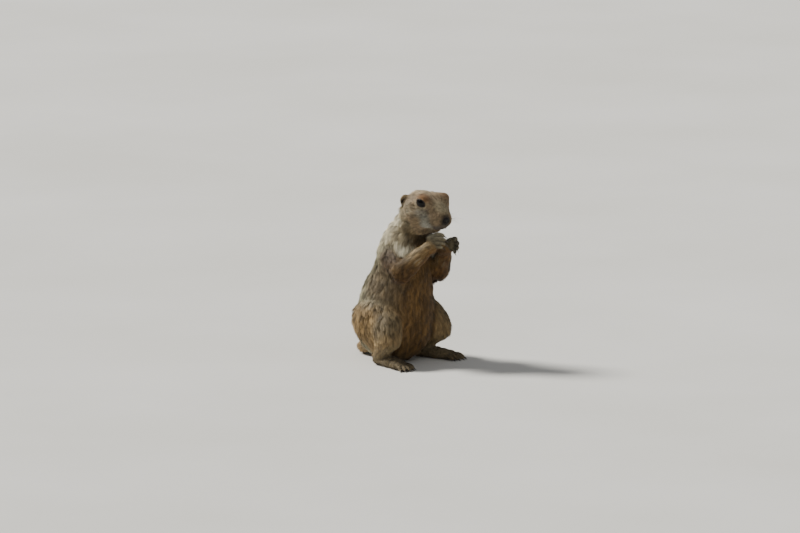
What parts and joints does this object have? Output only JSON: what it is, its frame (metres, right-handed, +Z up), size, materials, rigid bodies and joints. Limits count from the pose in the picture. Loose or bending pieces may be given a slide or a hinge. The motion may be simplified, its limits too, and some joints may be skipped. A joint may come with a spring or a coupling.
{
  "type": "prairie dog",
  "caption": "Life-size prairie dog sitting upright on its haunches, short tawny coat, forepaws held up together at its mouth, slim dark-tipped tail curled round on the floor.",
  "frame": {"origin": "on the floor, on the flat under the rump that the animal sits on", "axes": "+Z up, the animal's body faces -Y and its left side is towards +X"},
  "size_m": [0.1331, 0.1629, 0.1985],
  "materials": {
    "back_fur": "short grizzled buff and brown fur",
    "belly_fur": "short tawny fur, paler in front",
    "limb_fur": "short cinnamon-buff fur",
    "paw_fur": "very short pale fur with dark horn claws",
    "ear_skin": "thin skin with very short fur",
    "eye": "wet, glossy near-black",
    "nose_skin": "bare dark skin, slightly moist",
    "tail_tip_fur": "longer blackish fur"
  },
  "bodies": {
    "root": {"torso": "belly_fur", "neck": "back_fur", "head": "back_fur", "nose": "nose_skin", "eye_left": "eye", "eye_right": "eye", "ear_left": "ear_skin", "ear_right": "ear_skin", "upper_arm_left": "limb_fur", "upper_arm_right": "limb_fur", "forearm_left": "limb_fur", "forearm_right": "limb_fur", "hand_left": "paw_fur", "hand_right": "paw_fur", "thigh_left": "limb_fur", "thigh_right": "limb_fur", "shank_left": "limb_fur", "shank_right": "limb_fur", "foot_left": "paw_fur", "foot_right": "paw_fur", "tail_root": "back_fur", "tail_middle": "back_fur", "tail_brush": "tail_tip_fur"}
  },
  "joints": []
}
